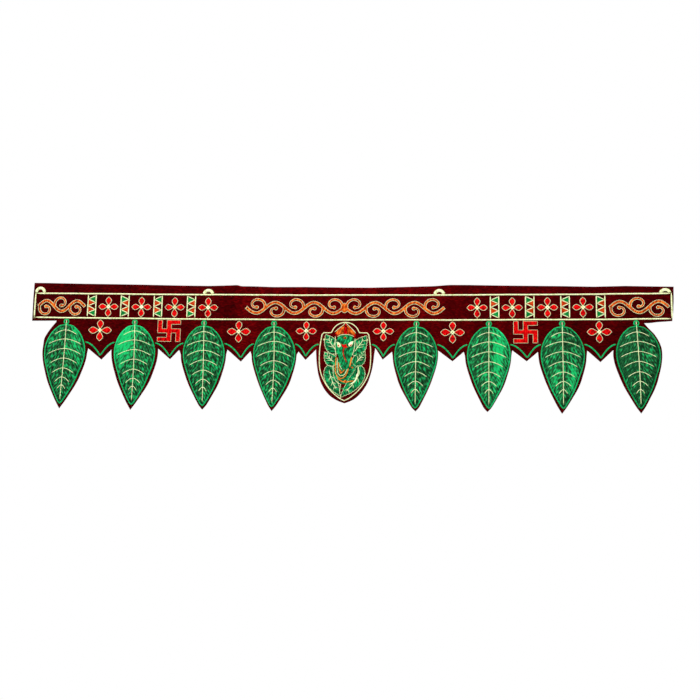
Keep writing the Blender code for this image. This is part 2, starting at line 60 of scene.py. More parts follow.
# %% From the flat drawing to the hung cloth
MM = 0.001
HALF_LENGTH, TOP_MIDDLE, SAG = 469.9, 30.0, 2.85
FLAT_ABOVE, LOWEST = 14.0, -155.0
CLOTH = 1.8
FOLDS = np.array([  # x, forward
    (-470, 2.2), (-416, 4.6), (-364, 1.6), (-312, 3.9), (-260, 1.2), (-208, 3.2), (-156, 0.9),
    (-104, 2.8), (-52, 0.8), (0, 2.4), (52, 1.0), (104, 3.3), (156, 0.7), (208, 2.7),
    (260, 1.3), (312, 4.1), (364, 1.5), (416, 4.8), (470, 2.5)])


def swing(x, z):
    """How far the cloth's back hangs before the wall: a cosine blend from fold to fold, times a
    smooth step from the heading down to the tips."""
    place = np.clip(np.searchsorted(FOLDS[:, 0], x) - 1, 0, len(FOLDS) - 2)
    start, end = FOLDS[place], FOLDS[place + 1]
    share = np.clip((x - start[:, 0]) / (end[:, 0] - start[:, 0]), 0, 1)
    down = np.clip((FLAT_ABOVE - z) / (FLAT_ABOVE - LOWEST), 0, 1)
    return (start[:, 1] + (end[:, 1] - start[:, 1]) * (0.5 - 0.5 * np.cos(math.pi * share))) \
        * down * down * (3 - 2 * down)


def hang(flat, front):
    """Flat points and their heights above the cloth's back, as they hang, in metres."""
    x, z = flat[:, 0], flat[:, 1]
    up = z - TOP_MIDDLE + SAG * (x / HALF_LENGTH) ** 2
    return np.stack([x, -(swing(x, z) + front), up], axis=1) * MM


def laid(points):
    """The flat place of hung points, which undoes the sag."""
    x, z = points[:, 0] / MM, points[:, 2] / MM
    return np.stack([x, z + TOP_MIDDLE - SAG * (x / HALF_LENGTH) ** 2], axis=1)


# %% [markdown]
# ## Outlines from the model
#
# A tailor's pattern is an outline. Each solid of the model is an outline with a thickness, so the
# edge of its front face gives that pattern back: those sides of its front triangles that no second
# front triangle shares. A smooth curve through the corners takes the facets away, but not the points.

# %% Outlines and curves
def outlines(name):
    """The closed flat outlines of a node's front, its outer one first."""
    mesh = nodes[name].data
    mesh.calc_loop_triangles()
    points = np.empty(len(mesh.vertices) * 3, np.float32)
    mesh.vertices.foreach_get("co", points)
    corners = np.empty(len(mesh.loop_triangles) * 3, np.int32)
    mesh.loop_triangles.foreach_get("vertices", corners)
    points = points.reshape(-1, 3).astype(float)
    _, first, index = np.unique(np.round(points * 1e5).astype(int), axis=0,
                                return_index=True, return_inverse=True)
    points, corners = points[first], index.reshape(-1)[corners].reshape(-1, 3)
    a, b, c = (points[corners[:, i]] for i in range(3))
    normal = np.cross(b - a, c - a)
    front = corners[normal[:, 1] < -0.6 * np.linalg.norm(normal, axis=1)]
    sides = np.concatenate([front[:, [0, 1]], front[:, [1, 2]], front[:, [2, 0]]]).tolist()
    shared = {(a, b) for a, b in sides}
    following = {a: b for a, b in sides if (b, a) not in shared}
    flat, found = laid(points), []
    while following:
        start, here = next(iter(following)), None
        loop = [start]
        while here != start:
            here = following.pop(loop[-1])
            loop.append(here)
        found.append(flat[loop[:-1]])
    return sorted(found, key=lambda loop: -abs(area(loop)))


def area(loop):
    """Half the sum over the sides of x times the next z less the next x times z."""
    x, z = np.asarray(loop, float).T
    return 0.5 * float(np.sum(x * np.roll(z, -1) - np.roll(x, -1) * z))


def smooth(path, step, closed=True, corner=32):
    """A Hermite curve through the points: each segment's ends lean along the mean of the two runs that
    meet there, or along its own run where they turn by more than `corner` degrees."""
    points = np.asarray(path, float)
    runs = np.roll(points, -1, axis=0) - points
    if not closed:
        runs[-1] = runs[-2]
    length = np.maximum(np.linalg.norm(runs, axis=1), 1e-9)
    ahead = runs / length[:, None]
    behind = np.roll(ahead, 1, axis=0)
    if not closed:
        behind[0] = ahead[0]
    mean = ahead + behind
    mean /= np.maximum(np.linalg.norm(mean, axis=1, keepdims=True), 1e-9)
    sharp = (ahead * behind).sum(1) < math.cos(math.radians(corner))
    leaving = np.where(sharp[:, None], ahead, mean) * length[:, None]
    arriving = np.roll(np.where(sharp[:, None], behind, mean), -1, axis=0) * length[:, None]
    count = np.maximum(1, np.ceil(length / step)).astype(int)
    if not closed:
        count[-1] = 0
    segment = np.repeat(np.arange(len(points)), count)
    t = (np.arange(len(segment)) - (np.cumsum(count) - count)[segment]) / count[segment]
    t = t[:, None]
    start, end = points[segment], np.roll(points, -1, axis=0)[segment]
    curve = start * (2 * t ** 3 - 3 * t ** 2 + 1) + end * (3 * t ** 2 - 2 * t ** 3) \
        + leaving[segment] * (t ** 3 - 2 * t ** 2 + t) + arriving[segment] * (t ** 3 - t ** 2)
    return curve if closed else np.concatenate([curve, points[-1:]])


def beside(path, distance, closed=True):
    """The path moved to its left by a distance, which is inwards on an anticlockwise loop."""
    points = np.asarray(path, float)
    if closed:
        along = np.roll(points, -1, axis=0) - np.roll(points, 1, axis=0)
    else:
        along = np.gradient(points, axis=0)
    along /= np.maximum(np.linalg.norm(along, axis=1, keepdims=True), 1e-9)
    return points + np.stack([-along[:, 1], along[:, 0]], axis=1) * np.reshape(distance, (-1, 1))


cloth_loop = outlines("ground_cloth")[0]
print("cloth outline of", len(cloth_loop), "points, flat area", round(area(cloth_loop) * 1e-6, 4), "m2")

# %% [markdown]
# ## A stitched patch
#
# Satin stitch over a padding stands up like a small cushion: flat in the middle and rounded at its
# edge. It could be a bevelled solid, but the thread then has no direction. Here a patch is filled with
# triangles whose heights follow the distance from the rim, and each triangle carries the place of
# its corners along and across the thread, so that the thread runs as the embroiderer laid it.

# %% Filling an outline
def within(points, loop):
    """Which points a loop encloses, by the sides that a ray to the right crosses."""
    x, z = points[:, 0:1], points[:, 1:2]
    corner, after = np.asarray(loop), np.roll(loop, -1, axis=0)
    rises = (corner[:, 1] > z) != (after[:, 1] > z)
    climb = np.where(after[:, 1] == corner[:, 1], 1.0, after[:, 1] - corner[:, 1])
    cross = corner[:, 0] + (z - corner[:, 1]) * (after[:, 0] - corner[:, 0]) / climb
    return (rises & (x < cross)).sum(axis=1) % 2 == 1


def clearance(points, loops):
    """Each point's distance from the nearest side of the loops, worked out a few thousand at a time."""
    start = np.concatenate(loops)
    side = np.concatenate([np.roll(loop, -1, axis=0) for loop in loops]) - start
    square = np.maximum((side * side).sum(-1), 1e-9)
    found = []
    for some in np.array_split(points, max(1, len(points) * len(start) // 4000000)):
        reach = some[:, None, :] - start[None]
        share = np.clip((reach * side).sum(-1) / square, 0, 1)[..., None]
        found.append(np.sqrt(((reach - share * side) ** 2).sum(-1)).min(axis=1))
    return np.concatenate(found) if found else np.zeros(0)


def fill(loops, step, rings=(), seam=None):
    """Triangles inside the first loop and outside the others, with rings of points at set distances
    from the rim, a staggered grid within, and no triangle across the seam."""
    loops = [loop if area(loop) > 0 else loop[::-1] for loop in map(np.asarray, loops)]
    low, high = loops[0].min(axis=0), loops[0].max(axis=0)
    x, z = np.meshgrid(np.arange(low[0], high[0], step), np.arange(low[1], high[1], step * 0.87))
    x = x + (np.arange(len(z)) % 2)[:, None] * step / 2
    grid = np.stack([x.ravel(), z.ravel()], axis=1)

    def inside(points):
        keep = within(points, loops[0])
        for hole in loops[1:]:
            keep &= ~within(points, hole)
        return keep

    grid = grid[inside(grid)]
    deepest = max(rings, default=0)
    grid = grid[clearance(grid, loops) > deepest + 0.55 * step]
    for distance in rings:
        ring = np.concatenate([beside(loop, distance if i == 0 else -distance)
                               for i, loop in enumerate(loops)])
        ring = ring[inside(ring)]
        grid = np.concatenate([grid, ring[clearance(ring, loops) > 0.8 * distance]])
    edges = []
    corners = np.concatenate(loops)
    ends = np.cumsum([len(loop) for loop in loops])
    for end, loop in zip(ends, loops):
        order = np.arange(end - len(loop), end)
        edges += np.stack([order, np.roll(order, -1)], axis=1).tolist()
    if seam is not None:
        order = np.arange(len(seam)) + len(corners)
        edges += np.stack([order[:-1], order[1:]], axis=1).tolist()
        corners = np.concatenate([corners, seam])
        grid = grid[clearance(grid, [np.concatenate([seam, seam[::-1]])]) > 0.4 * step]
    corners = np.concatenate([corners, grid])
    made = delaunay_2d_cdt([Vector(p) for p in corners.tolist()], edges, [], 0, 1e-4)
    flat, triangles = np.array([p[:] for p in made[0]]), np.array(made[2])
    triangles = triangles[inside(flat[triangles].mean(axis=1))]
    used, index = np.unique(triangles, return_inverse=True)
    flat, triangles = flat[used], index.reshape(-1, 3)
    a, b, c = (flat[triangles[:, i]] for i in range(3))
    double = (b - a)[:, 0] * (c - a)[:, 1] - (b - a)[:, 1] * (c - a)[:, 0]
    triangles[double < 0] = triangles[double < 0][:, ::-1]
    return flat, triangles[np.abs(double) > 1e-7], loops


def walls_of(triangles, count):
    """Two triangles under each rim side, a side that only one triangle has. They reach down from its
    two points to the same two of the sheet below, whose numbers are `count` higher."""
    sides = np.concatenate([triangles[:, [0, 1]], triangles[:, [1, 2]], triangles[:, [2, 0]]])
    key, other = sides[:, 0] * 10 ** 7 + sides[:, 1], sides[:, 1] * 10 ** 7 + sides[:, 0]
    start, end = sides[~np.isin(key, other)].T
    return np.concatenate([np.stack([end, start, start + count], axis=1),
                           np.stack([end, start + count, end + count], axis=1)])


def threaded(flat, angle):
    """Places across and along the thread, in millimetres, where the thread lies at `angle` degrees."""
    turn = np.radians(np.broadcast_to(angle, flat.shape[:-1]))
    across = flat[..., 0] * np.sin(turn) - flat[..., 1] * np.cos(turn)
    along = flat[..., 0] * np.cos(turn) + flat[..., 1] * np.sin(turn)
    return np.stack([across, along], axis=-1)


def patch(loops, look, thick=1.1, stand=CLOTH - 0.1, edge=1.6, step=2.2, angle=45.0, seam=None,
          light=None):
    """A closed cushion of stitches. Its height rises over `edge` as a quarter circle:
    thick * sqrt(1 - (1 - distance / edge)^2), at least a fifth of it at the rim."""
    flat, triangles, loops = fill(loops, step, (0.3 * edge, edge), seam)
    share = np.clip(clearance(flat, loops) / edge, 0, 1)
    height = thick * (0.2 + 0.8 * np.sqrt(1 - (1 - share) ** 2))
    lie = angle(flat[triangles].mean(axis=1))[:, None] if callable(angle) else angle
    count = len(flat)
    walls = walls_of(triangles, count)
    both = np.concatenate([flat, flat])
    thread = np.concatenate([threaded(flat[triangles], lie), threaded(flat[triangles[:, ::-1]], lie),
                             threaded(both[walls], 0.0)])
    # A light function gives painted highlights, and a painted shade darkens the stitches within two edge
    # widths of the rim.
    glow = light(flat) if light else np.zeros(count)
    if light:
        glow = glow - 0.45 * np.clip(1 - clearance(flat, loops) / (2 * edge), 0, 1)
    return {"points": np.concatenate([hang(flat, stand + height), hang(flat, np.full(count, stand))]),
            "triangles": np.concatenate([triangles, triangles[:, ::-1] + count, walls]),
            "thread": thread, "look": look, "light": np.concatenate([glow, glow])}


# %% [markdown]
# ## A couched cord or a satin line
#
# The cream borders, veins and outlines are narrow rows of stitches that cross a line. They could be
# curves with a bevel, but then the stitches can't slant over them. So a half-round profile is carried
# along the path, and the thread's places are its length along the line and its way round the profile.

# %% Carrying a profile along a path
def line(path, look, width=1.3, height=0.8, stand=CLOTH, closed=False, slant=0.5, facets=6, light=None):
    """A closed bead: at each point of the path half an ellipse, width by height, with a flat foot
    that reaches 0.15 mm into what it lies on. The two ends taper to a quarter of the size."""
    path = np.asarray(path, float)
    count = len(path)
    turn = np.linspace(0, math.pi, facets)
    across = np.concatenate([np.cos(turn) / 2, [-0.4, 0.4]])
    rise = np.concatenate([np.sin(turn), [-0.15 / height, -0.15 / height]])
    size = np.ones(count)
    if not closed:
        size[[0, -1]] = 0.25
    side = beside(path, 1.0, closed) - path
    widths = np.broadcast_to(width, (count,)) * size
    flat = path[:, None] - side[:, None] * (across[None, :] * widths[:, None])[..., None]
    up = np.broadcast_to(stand, (count,))[:, None] + rise[None] * height * size[:, None]
    round_it = len(across)
    points = hang(flat.reshape(-1, 2), up.ravel())
    i, j = np.meshgrid(np.arange(count if closed else count - 1), np.arange(round_it), indexing="ij")
    i, j = i.ravel(), j.ravel()
    after, beyond = (i + 1) % count, (j + 1) % round_it
    a, b = i * round_it + j, after * round_it + j
    c, d = after * round_it + beyond, i * round_it + beyond
    steps = np.linalg.norm(np.roll(path, -1, axis=0) - path, axis=1)
    run = np.concatenate([[0], np.cumsum(steps)])
    around = np.append(across, across[0]) * np.mean(width)
    place = [np.stack([run[p] + slant * around[q], around[q]], axis=1)
             for p, q in ((i, j), (i + 1, j), (i + 1, j + 1), (i, j + 1))]
    triangles = np.concatenate([np.stack([a, b, c], axis=1), np.stack([a, c, d], axis=1)])
    thread = np.concatenate([np.stack([place[k] for k in (0, 1, 2)], axis=1),
                             np.stack([place[k] for k in (0, 2, 3)], axis=1)])
    if not closed:
        fan = np.arange(1, round_it - 1)
        first = np.stack([np.zeros_like(fan), fan, fan + 1], axis=1)
        triangles = np.concatenate([triangles, first, first[:, ::-1] + (count - 1) * round_it])
        thread = np.concatenate([thread, np.zeros((2 * len(fan), 3, 2))])
    a, b, c = (points[triangles[:, k]] for k in range(3))
    if np.einsum("ij,ij->i", a, np.cross(b, c)).sum() < 0:
        triangles, thread = triangles[:, ::-1], thread[:, ::-1]
    # A light function paints highlight and shade along the line's colour.
    glow = light(path) if light else np.zeros(count)
    return {"points": points, "triangles": triangles, "thread": thread, "look": look,
            "light": np.repeat(glow, round_it)}


def piece(name, parts, replaced):
    """One object of several parts, at the origin, with the thread's places as its UV map. A part's
    look is one name, or a name for each triangle."""
    starts = np.cumsum([0] + [len(part["points"]) for part in parts])
    points = np.concatenate([part["points"] for part in parts])
    triangles = np.concatenate([part["triangles"] + start for part, start in zip(parts, starts)])
    used = np.concatenate([np.broadcast_to(part["look"], len(part["triangles"])) for part in parts])
    names = list(dict.fromkeys(used.tolist()))
    mesh = bpy.data.meshes.new(name)
    mesh.vertices.add(len(points))
    mesh.vertices.foreach_set("co", points.astype(np.float32).ravel())
    mesh.loops.add(triangles.size)
    mesh.loops.foreach_set("vertex_index", triangles.astype(np.int32).ravel())
    mesh.polygons.add(len(triangles))
    mesh.polygons.foreach_set("loop_start", np.arange(0, triangles.size, 3, dtype=np.int32))
    mesh.polygons.foreach_set("material_index", np.array([names.index(look) for look in used], np.int32))
    mesh.update(calc_edges=True)
    places = mesh.uv_layers.new(name="thread")
    thread = np.concatenate([part["thread"] for part in parts]).astype(np.float32)
    places.data.foreach_set("uv", thread.ravel())
    # The light attribute carries painted highlight and shade, which the materials mix into their colour.
    light = mesh.attributes.new("light", "FLOAT", "POINT")
    light.data.foreach_set("value", np.concatenate([part["light"] for part in parts]).astype(np.float32))
    mesh.shade_smooth()
    for look in names:
        mesh.materials.append(looks[look])
    made = bpy.data.objects.new(name, mesh)
    bpy.context.scene.collection.objects.link(made)
    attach(made, "root")
    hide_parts(*replaced)
    return made


# %% [markdown]
# ## Materials: rayon thread and velvet
#
# Rayon embroidery thread is smooth and shiny (IOR about 1.5), and its filaments all lie one way, so it
# shines in a band across the thread: an anisotropic highlight. A cotton thread would be a dull diffuse
# one. Velvet is the opposite: a standing pile that swallows light head on and catches it at its edge.

# %% Colours and a node helper
def linear(hex_colour):
    """An sRGB hex value as the linear colour that a shader wants."""
    parts = [int(hex_colour[i:i + 2], 16) / 255 for i in (1, 3, 5)]
    return (*[p / 12.92 if p <= 0.04045 else ((p + 0.055) / 1.055) ** 2.4 for p in parts], 1.0)


def node(tree, kind, links=(), **settings):
    """Adds a node with its settings. Each of its sockets takes a value, an output, or a node's first."""
    made = tree.nodes.new(kind)
    for name, value in settings.items():
        setattr(made, name, value)
    for socket, source in dict(links).items():
        source = source.outputs[0] if isinstance(source, bpy.types.Node) else source
        if isinstance(source, bpy.types.NodeSocket):
            tree.links.new(source, made.inputs[socket])
        else:
            made.inputs[socket].default_value = source
    return made


def begun(name):
    """A new material, its node tree and its surface shader."""
    material = bpy.data.materials.new(name)
    material.use_nodes = True
    return material, material.node_tree, material.node_tree.nodes["Principled BSDF"]


RAYON_IOR, SHINE_ALONG = 1.5, 0.7
FILAMENT = 0.45  # mm
NEEDLE_COLUMN = 0.0058  # m, as Object coordinates are
TURN = 2 * math.pi


def thread_look(name, dark, middle, bright, gloss=0.36, rows=3.3, loose=1.0, bands=0.0):
    """Rayon thread. `rows` is the width in mm of a row of stitches, `loose` how far the dark ground
    shows between rows, and `bands` how strongly the fill's 6 mm needle columns show."""
    material, tree, shader = begun(name)
    place = node(tree, "ShaderNodeUVMap", uv_map="thread")
    light = node(tree, "ShaderNodeAttribute", attribute_name="light").outputs["Fac"]
    across = node(tree, "ShaderNodeSeparateXYZ", {0: place})
    # The filaments have their real width. Rows and flecks are drawn coarser than on the cloth, 2 to
    # 5 mm instead of about 1, because finer ones would be under a pixel from 1.4 m away.
    filament = node(tree, "ShaderNodeMath", {0: across, 1: TURN / FILAMENT}, operation="MULTIPLY")
    filament = node(tree, "ShaderNodeMath", {0: filament}, operation="SINE")
    streaks = node(tree, "ShaderNodeMapping", {"Vector": place, "Scale": (0.16, 0.04, 1.0)})
    streaks = node(tree, "ShaderNodeTexNoise", {"Vector": streaks, "Scale": 1.0, "Detail": 1.0})
    flecks = node(tree, "ShaderNodeMapping", {"Vector": place, "Scale": (0.46, 0.19, 1.0)})
    flecks = node(tree, "ShaderNodeTexNoise", {"Vector": flecks, "Scale": 1.0, "Detail": 0.0})
    wander = node(tree, "ShaderNodeMath", {0: streaks, 1: 9.0}, operation="MULTIPLY")
    row = node(tree, "ShaderNodeMath", {0: across, 1: TURN / rows, 2: wander}, operation="MULTIPLY_ADD")
    row = node(tree, "ShaderNodeMath", {0: row}, operation="SINE")
    tone = node(tree, "ShaderNodeMath", {0: streaks, 1: 0.7}, operation="MULTIPLY")
    tone = node(tree, "ShaderNodeMath", {0: flecks, 1: 1.3 * loose, 2: tone}, operation="MULTIPLY_ADD")
    # The light attribute paints highlights and shade into the thread's colour.
    tone = node(tree, "ShaderNodeMath", {0: light, 1: 0.5, 2: tone}, operation="MULTIPLY_ADD")
    tone = node(tree, "ShaderNodeMath", {0: row, 1: 0.1 * loose, 2: tone}, operation="MULTIPLY_ADD")
    if bands:
        where = node(tree, "ShaderNodeTexCoord").outputs["Object"]
        column = node(tree, "ShaderNodeSeparateXYZ", {0: where})
        wander = node(tree, "ShaderNodeMath", {0: streaks, 1: 3.0}, operation="MULTIPLY")
        column = node(tree, "ShaderNodeMath", {0: column, 1: TURN / NEEDLE_COLUMN, 2: wander},
                      operation="MULTIPLY_ADD")
        column = node(tree, "ShaderNodeMath", {0: column}, operation="SINE")
        tone = node(tree, "ShaderNodeMath", {0: column, 1: bands, 2: tone}, operation="MULTIPLY_ADD")
    middle_tone = 0.35 + 0.65 * loose
    spread = node(tree, "ShaderNodeMapRange", {"Value": tone, "From Min": middle_tone - 0.33,
                                               "From Max": middle_tone + 0.5})
    ramp = node(tree, "ShaderNodeValToRGB", {0: spread})
    ramp.color_ramp.elements[0].color = linear(dark)
    ramp.color_ramp.elements[1].color = linear(bright)
    ramp.color_ramp.elements.new(0.4).color = linear(middle)
    tree.links.new(ramp.outputs[0], shader.inputs["Base Color"])
    swell = node(tree, "ShaderNodeMath", {0: row, 1: 2.0, 2: filament}, operation="MULTIPLY_ADD")
    bump = node(tree, "ShaderNodeBump", {"Height": swell, "Strength": 0.6, "Distance": 0.0001})
    tree.links.new(bump.outputs[0], shader.inputs["Normal"])
    tangent = node(tree, "ShaderNodeTangent", direction_type="UV_MAP", uv_map="thread")
    tree.links.new(tangent.outputs[0], shader.inputs["Tangent"])
    # Light that crosses a dyed filament comes out in its colour, so the highlight is tinted too
    shader.inputs["Specular Tint"].default_value = linear(bright)
    shader.inputs["Roughness"].default_value = gloss
    shader.inputs["Anisotropic"].default_value = SHINE_ALONG
    shader.inputs["IOR"].default_value = RAYON_IOR
    return material


looks = {
    "leaf": thread_look("green_rayon_leaf", "#081a0c", "#1d4427", "#18b864", bands=0.07),
    "leaf_edge": thread_look("green_rayon_edge", "#0a7a40", "#0ea65a", "#1ce48c", loose=0.5),
    "cream": thread_look("cream_rayon", "#a6b268", "#ecf4b8", "#fffff0", loose=0.4, gloss=0.45),
    "red": thread_look("red_rayon", "#700002", "#c60104", "#f01410", loose=0.8),
    "orange": thread_look("orange_rayon", "#6a1202", "#c0460a", "#f08c2c", loose=1.0),
    "forest": thread_look("dark_green_rayon", "#06140b", "#105c30", "#1ac070", rows=2.2),
    "amber": thread_look("amber_rayon", "#c04806", "#f07a18", "#ffc468", loose=0.6),
    "patch_green": thread_look("dark_green_satin", "#063a18", "#0a7832", "#149a48", loose=0.4),
    "patch_orange": thread_look("rust_satin", "#641404", "#b83208", "#e0601a", loose=0.5),
}
print("threads:", ", ".join(material.name for material in looks.values()))


# %% [markdown]
# ## The velvet
#
# Short pile velvet has a grain: brushed one way it is nearly black, the other way it glows red. It could
# be hair, but at this size the pile is 0.6 mm long and never seen as hairs, so a fine bump, patches of
# brushed pile and a sheen give the same look at a fraction of the cost.

# %% Velvet material
def velvet_look():
    """Pile tufts of about 0.7 mm in rows with the weave, patches of pile laid another way about 25 mm
    across, painted light and shade from the light attribute, and a sheen.
    """
    material, tree, shader = begun("maroon_velvet")
    where = node(tree, "ShaderNodeTexCoord").outputs["Object"]
    light = node(tree, "ShaderNodeAttribute", attribute_name="light").outputs["Fac"]
    patches = node(tree, "ShaderNodeTexNoise", {"Vector": where, "Scale": 38.0, "Detail": 3.0})
    rows = node(tree, "ShaderNodeMapping", {"Vector": where, "Scale": (260.0, 260.0, 620.0)})
    rows = node(tree, "ShaderNodeTexNoise", {"Vector": rows, "Scale": 1.0, "Detail": 2.0})
    tufts = node(tree, "ShaderNodeTexNoise", {"Vector": where, "Scale": 1500.0, "Detail": 1.0})
    blend = node(tree, "ShaderNodeMath", {0: patches, 1: 0.5, 2: rows}, operation="MULTIPLY_ADD")
    # The light attribute is painted light and shade: it makes the heading's middle lighter and its two ends
    # darker.
    blend = node(tree, "ShaderNodeMath", {0: light, 1: 0.4, 2: blend}, operation="MULTIPLY_ADD")
    spread = node(tree, "ShaderNodeMapRange", {"Value": blend, "From Min": 0.5, "From Max": 1.15})
    ramp = node(tree, "ShaderNodeValToRGB", {0: spread})
    ramp.color_ramp.elements[0].color = linear("#200001")
    ramp.color_ramp.elements[1].color = linear("#6e0305")
    ramp.color_ramp.elements.new(0.5).color = linear("#420002")
    tree.links.new(ramp.outputs[0], shader.inputs["Base Color"])
    pile = node(tree, "ShaderNodeMath", {0: tufts, 1: rows}, operation="ADD")
    bump = node(tree, "ShaderNodeBump", {"Height": pile, "Strength": 0.6, "Distance": 0.0005})
    tree.links.new(bump.outputs[0], shader.inputs["Normal"])
    shader.inputs["Roughness"].default_value = 0.95
    shader.inputs["Specular Tint"].default_value = linear("#a01010")
    shader.inputs["Specular IOR Level"].default_value = 0.2
    shader.inputs["Sheen Weight"].default_value = 0.08
    shader.inputs["Sheen Roughness"].default_value = 0.35
    shader.inputs["Sheen Tint"].default_value = linear("#c81818")
    return material


YARN = 0.0018  # m


def backing_look():
    """The plain woven cotton behind the pile: 0.9 mm warp and weft, drawn twice as coarse to show."""
    material, tree, shader = begun("maroon_cotton_backing")
    where = node(tree, "ShaderNodeTexCoord").outputs["Object"]
    split = node(tree, "ShaderNodeSeparateXYZ", {0: where})
    yarns = []
    for axis in (0, 2):
        turn = node(tree, "ShaderNodeMath", {0: split.outputs[axis], 1: TURN / YARN}, operation="MULTIPLY")
        yarns.append(node(tree, "ShaderNodeMath", {0: turn}, operation="SINE"))
    weave = node(tree, "ShaderNodeMath", {0: yarns[0], 1: yarns[1]}, operation="MULTIPLY")
    mottle = node(tree, "ShaderNodeTexNoise", {"Vector": where, "Scale": 60.0, "Detail": 4.0})
    tone = node(tree, "ShaderNodeMath", {0: weave, 1: 0.18, 2: mottle}, operation="MULTIPLY_ADD")
    ramp = node(tree, "ShaderNodeValToRGB", {0: tone})
    ramp.color_ramp.elements[0].color = linear("#3a070b")
    ramp.color_ramp.elements[1].color = linear("#7a2026")
    tree.links.new(ramp.outputs[0], shader.inputs["Base Color"])
    bump = node(tree, "ShaderNodeBump", {"Height": weave, "Strength": 0.5, "Distance": 0.0002})
    tree.links.new(bump.outputs[0], shader.inputs["Normal"])
    shader.inputs["Roughness"].default_value = 0.85
    return material


looks["velvet"] = velvet_look()
looks["backing"] = backing_look()

# %% [markdown]
# ## The cloth
#
# The strip is one sheet, so it is one surface: the model's outline made smooth, filled with points
# 4 mm apart. The stitching draws it in, so the velvet stands a little proud between the motifs, and
# a soft crease runs down from the heading here and there. Its cut edge is rounded by two rims of points.

# %% Cut and hang the cloth
CLOTH_STEP, CUT_EDGE, FRONT_ROUNDED, BACK_ROUNDED = 4.0, 0.7, 0.55, 0.45
CREASES = (  # x at the heading, x lower down, width, depth
    (-431, -436, 7, 0.22), (-262, -255, 9, 0.18), (-157, -157, 2.5, 0.30), (-84, -90, 8, 0.16),
    (72, 66, 9, 0.18), (137, 139, 3, 0.26), (268, 262, 8, 0.2), (398, 405, 9, 0.22))


def relief(flat):
    """Small dips: a bell-shaped trough along each crease, plus slow waves 23 and 37 mm long."""
    x, z = flat[:, 0], flat[:, 1]
    dip = 0.07 * np.sin(x / 23 * 2 * math.pi + z / 9) + 0.06 * np.sin(x / 37 * 2 * math.pi - z / 6)
    for top, low, width, depth in CREASES:
        middle = top + (low - top) * (30 - z) / 90
        dip = dip - depth * np.exp(-((x - middle) / width) ** 2) * np.clip((z + 40) / 60, 0, 1)
    return dip


def painted_velvet_light(flat):
    """Painted light and shade for the velvet's colour: lighter on the heading between two of its creases and
    above the top border, darker at the two ends.
    """
    x, z = flat[:, 0], flat[:, 1]
    centre = np.clip((150 - np.abs(x + 8)) / 12 + 0.5, 0, 1)
    return 0.2 * centre - 0.2 * np.clip((np.abs(x) - 260) / 200, 0, 1) + 0.05 * (z > 20)


def cloth_sheet(loop):
    """Front and back sheets over one filling, the cloth's thickness apart. From the rim inwards, over
    0.7 mm, each of them goes straight from where the cut edge is rounded off to its full height."""
    flat, triangles, loops = fill([smooth(loop, 3.2, corner=22)], CLOTH_STEP, (CUT_EDGE,))
    deep = np.clip(clearance(flat, loops) / CUT_EDGE, 0, 1)
    count = len(flat)
    front = CLOTH - FRONT_ROUNDED * (1 - deep) + relief(flat) * deep
    back = BACK_ROUNDED * (1 - deep)
    pile = np.concatenate([triangles, walls_of(triangles, count)])
    whole = np.concatenate([pile, triangles[:, ::-1] + count])
    return {"points": np.concatenate([hang(flat, front), hang(flat, back)]), "triangles": whole,
            "thread": np.concatenate([flat, flat])[whole],
            "look": ["velvet"] * len(pile) + ["backing"] * len(triangles),
            "light": np.concatenate([painted_velvet_light(flat)] * 2)}


velvet = piece("velvet_cloth", [cloth_sheet(cloth_loop)], ["ground_cloth"])
print("velvet:", len(velvet.data.vertices), "points")

# %% [markdown]
# ## The border and the rings
#
# Four satin lines frame the band, and four cream half rings stand on the top one. The rings are
# thicker than the lines, as loops of cord would be, and lie on the heading.

# %% Border lines and half rings
def straight(start, end, step=6.0):
    """Points spaced evenly from one end to the other, no more than `step` apart."""
    count = max(2, int(math.dist(start, end) / step) + 1)
    return np.linspace(start, end, count)


def spot(name):
    """A node's flat middle and half size, in millimetres."""
    low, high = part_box(name)
    flat = laid(np.array([low[:], high[:]]))
    return flat.mean(axis=0), (flat[1] - flat[0]) / 2


def frayed(path, amount):
    """A line that wavers as hand-guided stitching does: three sines of different lengths."""
    run = path[:, 0] + path[:, 1]
    waver = np.sin(run / 31) + 0.6 * np.sin(run / 13 + 1.3) + 0.4 * np.sin(run / 5.7 + 0.4)
    return beside(path, amount * waver / 2, False)


BORDER_UP, BORDER_ACROSS, BORDER_END = 18.4, 466.3, 465.0
BORDER_WIDTH, BORDER_WAVER = 2.25, 0.25
PAST_LEFT_FOOT, PAST_CORNER = 1.9, 1.2
for name, start, end in (
    ("top", (-BORDER_END, BORDER_UP), (BORDER_END, BORDER_UP)),
    ("bottom", (-BORDER_END, -BORDER_UP), (BORDER_END, -BORDER_UP)),
    ("left", (-BORDER_ACROSS, -BORDER_UP - PAST_LEFT_FOOT), (-BORDER_ACROSS, BORDER_UP + PAST_CORNER)),
    ("right", (BORDER_ACROSS, -BORDER_UP - PAST_CORNER), (BORDER_ACROSS, BORDER_UP + PAST_CORNER)),
):
    path = frayed(straight(start, end), BORDER_WAVER)
    piece(f"border_{name}_line", [line(path, "cream", BORDER_WIDTH, 1.0)],
          ["border_" + name])

RING_CORD, RING_FOOT = 4.5, 0.6
for number in range(1, 5):
    (x, z), (across, up) = spot(f"half_ring_{number}")
    turn = np.linspace(0, math.pi, 25)
    arch = np.stack([x + (across - 2.2) * np.cos(turn), z - up - RING_FOOT + (2 * up - 1.7) * np.sin(turn)],
                    axis=1)
    piece(f"half_ring_{number}_cord", [line(arch, "cream", RING_CORD, 1.35, facets=8)],
          [f"half_ring_{number}"])

# %% [markdown]
# ## The zigzag dividers
#
# Two uprights with a zigzag between them, and small satin triangles in the gaps: green, orange and the
# bare velvet in turn. Each triangle is pulled in from its corners so that the cream lines stay clear.

# %% Dividers
def pulled_in(corners, amount):
    """The corners moved towards their middle by a share."""
    corners = np.asarray(corners, float)
    return corners + (corners.mean(axis=0) - corners) * amount


